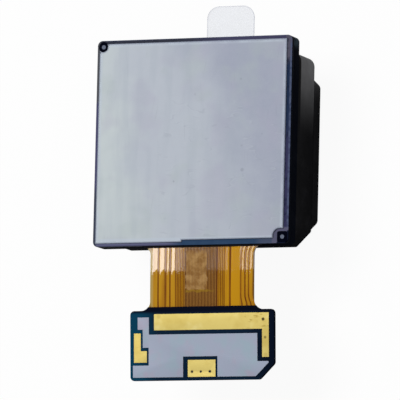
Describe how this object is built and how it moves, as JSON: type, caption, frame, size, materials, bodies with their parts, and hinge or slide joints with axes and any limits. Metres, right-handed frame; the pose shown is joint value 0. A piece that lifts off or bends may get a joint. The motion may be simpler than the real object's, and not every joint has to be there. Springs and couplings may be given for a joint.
{
  "type": "camera module",
  "caption": "Square phone camera module with a focus and stabiliser actuator, a grey back plate, a lens-side film and a flex cable to a board connector.",
  "frame": {"origin": "optical axis at the resting plane, the underside of the lens-side protective film", "axes": "+Z towards the back plate, +Y towards the film's pull tab, away from the flex cable"},
  "size_m": [0.02, 0.0374, 0.0095],
  "materials": {
    "film": "clear bluish protective film",
    "foam": "fine closed-cell foam",
    "black_cover": "satin black moulding",
    "black_can": "satin black coated sheet",
    "housing_plastic": "black liquid crystal polymer",
    "steel_plate": "plain rolled",
    "drive_flex": "polyimide with copper",
    "copper_coil": "enamelled copper winding",
    "chip": "moulded package",
    "bracket_plastic": "dark navy-black moulding",
    "filter_glass": "blue-green coated glass",
    "sensor_die": "silicon with colour filter",
    "capacitor": "brown ceramic with tinned ends",
    "board_navy": "navy solder mask",
    "plate_grey": "light blue-grey matt plate",
    "bright_metal": "tinned metal",
    "flex_amber": "amber polyimide",
    "flex_copper": "copper under polyimide",
    "connector_navy": "navy solder mask",
    "stiffener_grey": "grey stiffener",
    "gold": "gold-plated copper",
    "connector_plastic": "black moulding",
    "carrier_plastic": "black moulding",
    "magnet": "nickel-plated magnet",
    "ball_ceramic": "polished ceramic",
    "barrel_black": "matt black moulding",
    "lens_glass": "clear coated lens"
  },
  "bodies": {
    "module": {"lens_film": "film", "front_gasket": "foam", "front_cover": "black_cover", "front_stopper": "steel_plate", "actuator_can": "black_can", "actuator_housing": "housing_plastic", "focus_yoke": "steel_plate", "drive_flex": "drive_flex", "focus_coil": "copper_coil", "stabiliser_coil_x": "copper_coil", "stabiliser_coil_y": "copper_coil", "position_sensors": "chip", "sensor_bracket": "bracket_plastic", "infrared_filter": "filter_glass", "image_sensor": "sensor_die", "board_chips": "chip", "board_capacitors": "capacitor", "main_board": "board_navy", "back_plate": "plate_grey", "corner_marks": "bright_metal", "flex_cable": "flex_amber", "flex_traces": "flex_copper", "connector_board": "connector_navy", "board_stiffener": "stiffener_grey", "ground_pads": "gold", "connector_body": "connector_plastic", "connector_contacts": "gold", "connector_anchors": "bright_metal"},
    "focus_group": {"focus_carrier": "carrier_plastic", "focus_magnet": "magnet", "focus_balls": "ball_ceramic", "pull_yokes": "steel_plate", "stabiliser_balls_x": "ball_ceramic"},
    "frame_group": {"stabiliser_frame": "carrier_plastic", "stabiliser_balls_y": "ball_ceramic"},
    "lens_group": {"lens_holder": "carrier_plastic", "stabiliser_magnet_x": "magnet", "stabiliser_magnet_y": "magnet", "lens_barrel": "barrel_black", "lens_1": "lens_glass", "lens_2": "lens_glass", "lens_3": "lens_glass", "lens_4": "lens_glass", "lens_5": "lens_glass", "lens_6": "lens_glass", "lens_7": "lens_glass", "lens_spacers": "barrel_black", "lens_retainer": "barrel_black"}
  },
  "joints": [
    {"name": "focus_slide", "type": "slide", "parent": "module", "child": "focus_group", "axis": [0, 0, 1], "range_m": [0, 0.0004]},
    {"name": "stabiliser_slide_x", "type": "slide", "parent": "focus_group", "child": "frame_group", "axis": [1, 0, 0], "range_m": [-0.00015, 0.00015], "stiffness_N_per_m": 60},
    {"name": "stabiliser_slide_y", "type": "slide", "parent": "frame_group", "child": "lens_group", "axis": [0, 1, 0], "range_m": [-0.00015, 0.00015], "stiffness_N_per_m": 60}
  ]
}
